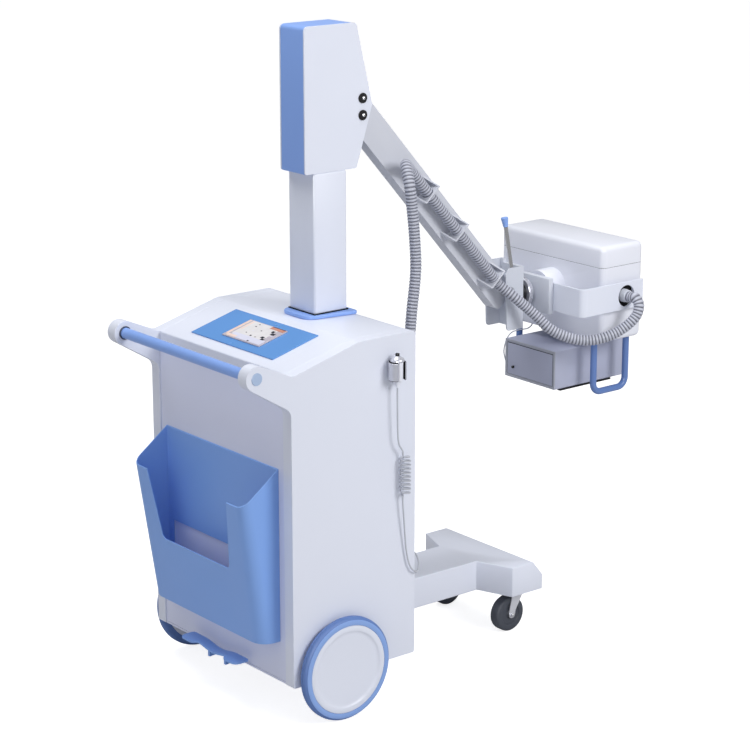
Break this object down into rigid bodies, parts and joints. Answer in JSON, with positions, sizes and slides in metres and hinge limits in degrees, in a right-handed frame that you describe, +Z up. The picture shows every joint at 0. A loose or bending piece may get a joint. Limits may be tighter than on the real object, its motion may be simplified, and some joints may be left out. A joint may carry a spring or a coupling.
{
  "type": "mobile x-ray machine",
  "caption": "Wheeled ward x-ray unit: white cabinet with push handle and plate bin, column, balanced arm, and a tube head with collimator held in a yoke.",
  "frame": {"origin": "on the floor below the middle of the machine's bounding box", "axes": "+X forward, from the push handle towards the tube head; +Y to the machine's left; +Z up"},
  "size_m": [1.5115, 0.7045, 1.76],
  "materials": {
    "white_paint": "satin",
    "grey_paint": "satin",
    "light_grey": "satin",
    "blue_paint": "satin",
    "blue_plastic": "satin",
    "dark_blue": "satin",
    "black_plastic": "matte",
    "rubber": "matte",
    "steel": "brushed",
    "chrome": "polished",
    "hose_grey": "matte",
    "screen": "gloss"
  },
  "bodies": {
    "machine": {"side_panel_left": "white_paint", "side_panel_right": "white_paint", "handle_bar": "blue_plastic", "top_deck": "white_paint", "rear_panel": "grey_paint", "front_panel": "white_paint", "base_tray": "grey_paint", "generator": "grey_paint", "console_panel": "blue_paint", "touch_screen": "screen", "cassette_bin": "blue_paint", "brake_pedals": "blue_paint", "main_axle": "steel", "leg_frame": "white_paint", "caster_plate_left": "black_plastic", "caster_plate_right": "black_plastic", "column_plate": "blue_plastic", "column": "white_paint", "head_housing": "white_paint", "head_cover": "blue_plastic", "head_pin": "black_plastic", "link_pin_left": "black_plastic", "link_pin_right": "black_plastic", "hose_gland": "black_plastic", "hose_lift": "hose_grey", "handset_holder": "white_paint", "handset": "light_grey", "handset_lead": "light_grey", "handset_tail": "light_grey", "handset_curl": "light_grey"},
    "wheel_left": {"main_tyre_left": "blue_plastic", "main_hub_left": "white_paint"},
    "wheel_right": {"main_tyre_right": "blue_plastic", "main_hub_right": "white_paint"},
    "caster_left": {"caster_fork_left": "steel"},
    "caster_right": {"caster_fork_right": "steel"},
    "caster_wheel_left": {"front_wheel_left": "rubber"},
    "caster_wheel_right": {"front_wheel_right": "rubber"},
    "arm": {"arm_beam": "light_grey", "hose_arm": "hose_grey"},
    "knuckle": {"knuckle_cheeks": "light_grey", "knuckle_pin": "steel", "turn_disc": "steel", "lock_lever": "chrome", "lever_grip": "blue_plastic", "hose_knuckle": "hose_grey"},
    "yoke": {"yoke_plate": "light_grey", "yoke_strap": "white_paint", "hose_yoke": "hose_grey"},
    "tube": {"tube_housing": "white_paint", "tube_lid": "white_paint", "hose_fitting": "hose_grey", "trunnion_knob": "black_plastic", "grab_handle_left": "blue_plastic", "grab_handle_right": "blue_plastic", "collimator": "grey_paint", "collimator_flange": "dark_blue", "collimator_window": "black_plastic"}
  },
  "joints": [
    {"name": "wheel_left_spin", "type": "hinge", "parent": "machine", "child": "wheel_left", "pos_m": [-0.46825, 0.33726, 0.14], "axis": [0, 1, 0], "continuous": true},
    {"name": "wheel_right_spin", "type": "hinge", "parent": "machine", "child": "wheel_right", "pos_m": [-0.46825, -0.32474, 0.14], "axis": [0, 1, 0], "continuous": true},
    {"name": "caster_left_swivel", "type": "hinge", "parent": "machine", "child": "caster_left", "pos_m": [0.29775, 0.14026, 0.121], "axis": [0, 0, 1], "continuous": true},
    {"name": "caster_right_swivel", "type": "hinge", "parent": "machine", "child": "caster_right", "pos_m": [0.29775, -0.12774, 0.121], "axis": [0, 0, 1], "continuous": true},
    {"name": "caster_wheel_left_spin", "type": "hinge", "parent": "caster_left", "child": "caster_wheel_left", "pos_m": [0.27375, 0.14026, 0.051], "axis": [0, 1, 0], "continuous": true},
    {"name": "caster_wheel_right_spin", "type": "hinge", "parent": "caster_right", "child": "caster_wheel_right", "pos_m": [0.27375, -0.12774, 0.051], "axis": [0, 1, 0], "continuous": true},
    {"name": "arm_swing", "type": "hinge", "parent": "machine", "child": "arm", "pos_m": [-0.18725, 0.00626, 1.5636], "axis": [0, 1, 0], "range_deg": [-50, 15]},
    {"name": "knuckle_level", "type": "hinge", "parent": "arm", "child": "knuckle", "pos_m": [0.34835, 0.00626, 0.96666], "axis": [0, 1, 0], "range_deg": [-15, 50]},
    {"name": "yoke_turn", "type": "hinge", "parent": "knuckle", "child": "yoke", "pos_m": [0.43975, 0.00626, 0.947], "axis": [1, 0, 0], "range_deg": [-90, 90]},
    {"name": "tube_tilt", "type": "hinge", "parent": "yoke", "child": "tube", "pos_m": [0.63575, 0.00626, 0.944], "axis": [0, 1, 0], "range_deg": [-90, 10]}
  ],
  "couplings": [
    {"joint": "knuckle_level", "follows": "arm_swing", "ratio": -1}
  ]
}
